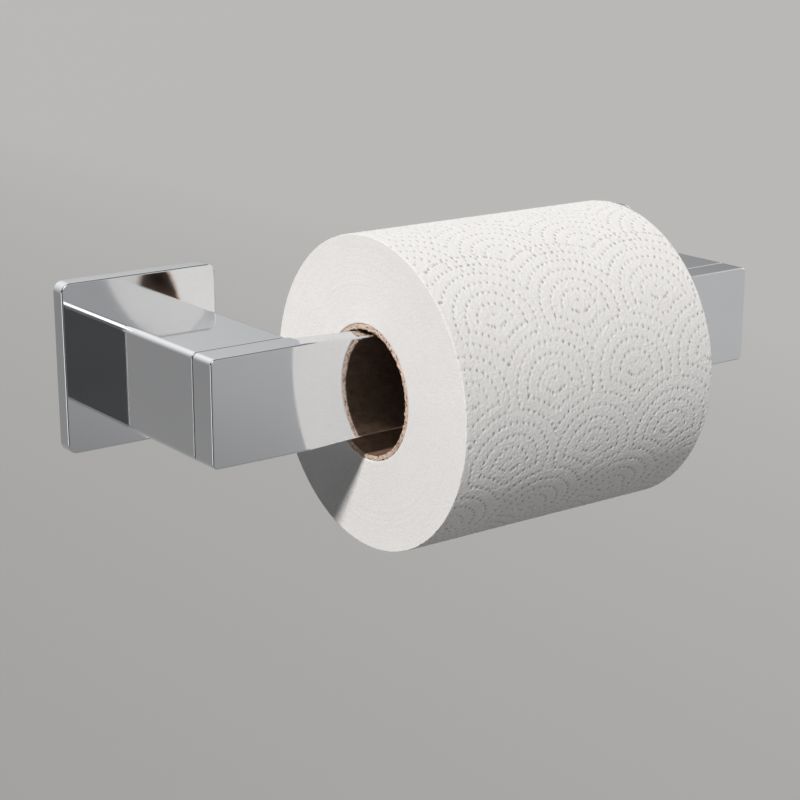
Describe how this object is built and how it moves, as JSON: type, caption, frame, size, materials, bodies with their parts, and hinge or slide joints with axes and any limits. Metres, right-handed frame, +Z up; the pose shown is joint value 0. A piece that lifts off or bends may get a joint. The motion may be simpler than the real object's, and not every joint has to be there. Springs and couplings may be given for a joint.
{
  "type": "toilet paper holder",
  "caption": "Wall-mounted chrome toilet paper holder: square posts on square plates, a flat lift-up arm between them, and an embossed paper roll on it.",
  "frame": {"origin": "on the wall plane, midway between the two posts, at the height of the posts' centres", "axes": "+Z up, +X along the arm from the pivot post to the catch post, -Y out from the wall"},
  "size_m": [0.238, 0.121, 0.099],
  "materials": {
    "chrome": "polished chrome plate",
    "steel": "turned stainless steel",
    "bracket": "zinc-plated pressed steel",
    "nylon": "natural nylon",
    "cardboard": "raw grey-brown board",
    "tissue": "soft embossed tissue"
  },
  "bodies": {
    "posts": {"wall_bracket_left": "bracket", "wall_plate_left": "chrome", "set_screw_left": "steel", "post_screw_left_lower": "steel", "post_screw_left_upper": "steel", "post_left": "chrome", "wall_bracket_right": "bracket", "wall_plate_right": "chrome", "set_screw_right": "steel", "post_screw_right_lower": "steel", "post_screw_right_upper": "steel", "post_right": "chrome", "pivot_bush": "nylon", "pivot_washer": "nylon", "disc_spring": "steel", "catch_peg": "steel", "catch_sleeve": "nylon"},
    "arm": {"arm": "chrome", "pivot_screw": "steel", "stop_pin": "steel"},
    "roll": {"core_tube": "cardboard", "paper_roll": "tissue"}
  },
  "joints": [
    {"name": "arm_swing", "type": "hinge", "parent": "posts", "child": "arm", "pos_m": [-0.0915, -0.0655, 0], "axis": [0, -1, 0], "range_deg": [0, 90]},
    {"name": "roll_spin", "type": "hinge", "parent": "arm", "child": "roll", "pos_m": [0, -0.0715, -0.00339], "axis": [1, 0, 0], "continuous": true}
  ]
}
